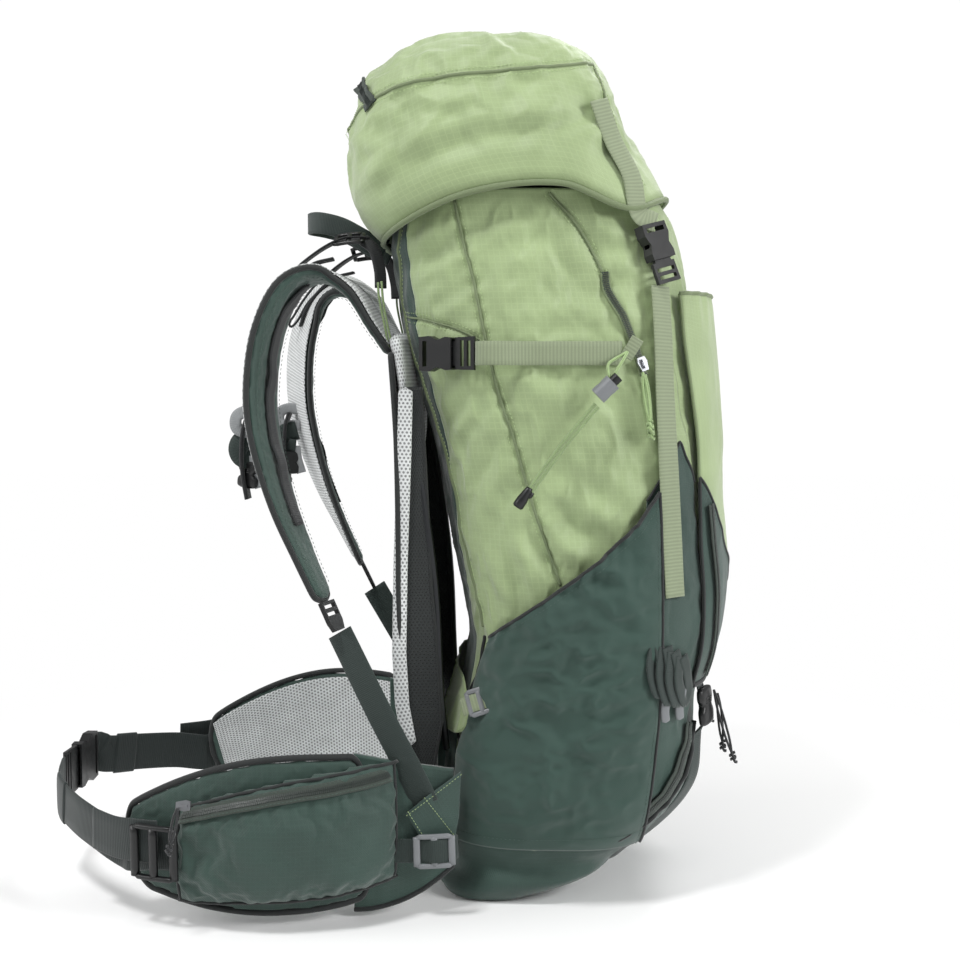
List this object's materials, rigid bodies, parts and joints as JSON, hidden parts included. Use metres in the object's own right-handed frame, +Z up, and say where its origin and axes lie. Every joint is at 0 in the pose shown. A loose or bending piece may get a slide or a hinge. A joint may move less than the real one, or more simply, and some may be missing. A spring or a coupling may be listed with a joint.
{
  "type": "hiking backpack",
  "caption": "Panel-built trekking backpack with a hinged lid pocket, suspended mesh back, padded shoulder straps and a wide hip belt with zipped pockets.",
  "frame": {"origin": "middle of the mesh back's front face, where the wearer's back touches it", "axes": "+X from the wearer to the front of the bag, +Y to the wearer's right, +Z up"},
  "size_m": [0.6312, 0.422, 0.7578],
  "materials": {
    "black_plastic": "moulded acetal, fine satin",
    "black_webbing": "flat woven webbing, black",
    "cord": "braided round cord, pale green",
    "dark_cloth": "plain heavy nylon, deep ivy green, matt",
    "dark_webbing": "flat woven webbing, very dark green",
    "grey_plastic": "moulded acetal, grey",
    "light_cloth": "ripstop nylon, light sage, dull sheen",
    "light_webbing": "flat woven webbing, sage",
    "rod_steel": "dark spring steel",
    "slider_metal": "die-cast slider, gunmetal",
    "spacer_mesh": "white spacer mesh",
    "stretch_cloth": "stretch knit, deep ivy green"
  },
  "bodies": {
    "pack": {"back_panel": "dark_cloth", "front_panel": "light_cloth", "left_side_panel": "light_cloth", "right_side_panel": "light_cloth", "base_panel": "dark_cloth", "collar": "light_cloth", "left_side_pocket": "stretch_cloth", "right_side_pocket": "stretch_cloth", "front_pocket": "light_cloth", "mesh_back": "spacer_mesh", "frame_rod": "rod_steel", "lumbar_pad": "dark_cloth", "haul_loop": "dark_webbing", "left_compression_plug": "black_plastic", "right_compression_plug": "black_plastic", "left_compression_strap": "light_webbing", "right_compression_strap": "light_webbing", "left_front_strap": "light_webbing", "right_front_strap": "light_webbing", "left_lid_buckle_plug": "black_plastic", "right_lid_buckle_plug": "black_plastic", "left_bottom_strap": "black_webbing", "right_bottom_strap": "black_webbing", "left_cord_lock": "grey_plastic", "right_cord_lock": "grey_plastic", "left_side_cord": "cord", "right_side_cord": "cord"},
    "lid": {"lid_cover": "light_cloth", "lid_floor": "dark_cloth", "left_lid_strap": "light_webbing", "right_lid_strap": "light_webbing", "left_lid_buckle_socket": "black_plastic", "right_lid_buckle_socket": "black_plastic"},
    "left_hip": {"left_hip_wing": "dark_cloth", "left_hip_pocket": "dark_cloth", "left_belt_webbing": "black_webbing", "belt_buckle_plug": "black_plastic"},
    "right_hip": {"right_hip_wing": "dark_cloth", "right_hip_pocket": "dark_cloth", "right_belt_webbing": "black_webbing", "belt_buckle_socket": "black_plastic"},
    "lid_slider": {"lid_zip_slider": "slider_metal"},
    "left_shoulder": {"left_shoulder_pad": "dark_cloth", "left_strap_lock": "black_plastic", "left_shoulder_webbing": "dark_webbing", "left_load_lifter": "black_webbing"},
    "left_chest": {"left_chest_strap": "black_webbing"},
    "left_compression": {"left_compression_socket": "black_plastic"},
    "left_plunger": {"left_cord_lock_plunger": "black_plastic"},
    "left_hip_slider": {"left_hip_zip_slider": "slider_metal"},
    "left_side_slider": {"left_side_zip_slider": "slider_metal"},
    "right_shoulder": {"right_shoulder_pad": "dark_cloth", "right_strap_lock": "black_plastic", "right_shoulder_webbing": "dark_webbing", "right_load_lifter": "black_webbing"},
    "right_chest": {"right_chest_strap": "black_webbing"},
    "right_compression": {"right_compression_socket": "black_plastic"},
    "right_plunger": {"right_cord_lock_plunger": "black_plastic"},
    "right_hip_slider": {"right_hip_zip_slider": "slider_metal"},
    "right_side_slider": {"right_side_zip_slider": "slider_metal"}
  },
  "joints": [
    {"name": "lid_open", "type": "hinge", "parent": "pack", "child": "lid", "pos_m": [-0.034, 0, 0.256], "axis": [0, -1, 0], "range_deg": [0, 50]},
    {"name": "left_shoulder_swing", "type": "hinge", "parent": "pack", "child": "left_shoulder", "pos_m": [-0.024, -0.062, 0.172], "axis": [-0.1253, 0.2127, 0.9691], "range_deg": [-12, 28]},
    {"name": "left_chest_slide", "type": "slide", "parent": "left_shoulder", "child": "left_chest", "axis": [0, 0, 1], "range_m": [-0.015, 0.02]},
    {"name": "left_compression_release", "type": "slide", "parent": "pack", "child": "left_compression", "axis": [-0.8974, 0.4413, 0], "range_m": [0, 0.024]},
    {"name": "left_cord_lock_press", "type": "slide", "parent": "pack", "child": "left_plunger", "axis": [-0.722, 0, -0.6919], "range_m": [0, 0.004], "stiffness_N_per_m": 900, "springref_m": -0.001},
    {"name": "left_side_zip", "type": "slide", "parent": "pack", "child": "left_side_slider", "axis": [-0.372, 0.04, 0.9274], "range_m": [0, 0.076]},
    {"name": "left_hip_zip", "type": "slide", "parent": "left_hip", "child": "left_hip_slider", "axis": [1, 0, 0], "range_m": [0, 0.1]},
    {"name": "right_shoulder_swing", "type": "hinge", "parent": "pack", "child": "right_shoulder", "pos_m": [-0.024, 0.062, 0.172], "axis": [0.1253, 0.2127, -0.9691], "range_deg": [-12, 28]},
    {"name": "right_chest_slide", "type": "slide", "parent": "right_shoulder", "child": "right_chest", "axis": [0, 0, 1], "range_m": [-0.015, 0.02]},
    {"name": "right_compression_release", "type": "slide", "parent": "pack", "child": "right_compression", "axis": [-0.8974, -0.4413, 0], "range_m": [0, 0.024]},
    {"name": "right_cord_lock_press", "type": "slide", "parent": "pack", "child": "right_plunger", "axis": [-0.722, 0, -0.6919], "range_m": [0, 0.004], "stiffness_N_per_m": 900, "springref_m": -0.001},
    {"name": "right_side_zip", "type": "slide", "parent": "pack", "child": "right_side_slider", "axis": [-0.372, -0.04, 0.9274], "range_m": [0, 0.076]},
    {"name": "right_hip_zip", "type": "slide", "parent": "right_hip", "child": "right_hip_slider", "axis": [1, 0, 0], "range_m": [0, 0.1]},
    {"name": "lid_zip", "type": "slide", "parent": "lid", "child": "lid_slider", "axis": [0, 1, 0], "range_m": [0, 0.1]},
    {"name": "left_hip_open", "type": "hinge", "parent": "pack", "child": "left_hip", "pos_m": [-0.016, -0.148, -0.254], "axis": [0, 0, 1], "range_deg": [0, 45]},
    {"name": "right_hip_open", "type": "hinge", "parent": "pack", "child": "right_hip", "pos_m": [-0.016, 0.148, -0.254], "axis": [0, 0, 1], "range_deg": [-45, 0]}
  ],
  "couplings": [
    {"joint": "right_hip_open", "follows": "left_hip_open", "ratio": -1}
  ]
}
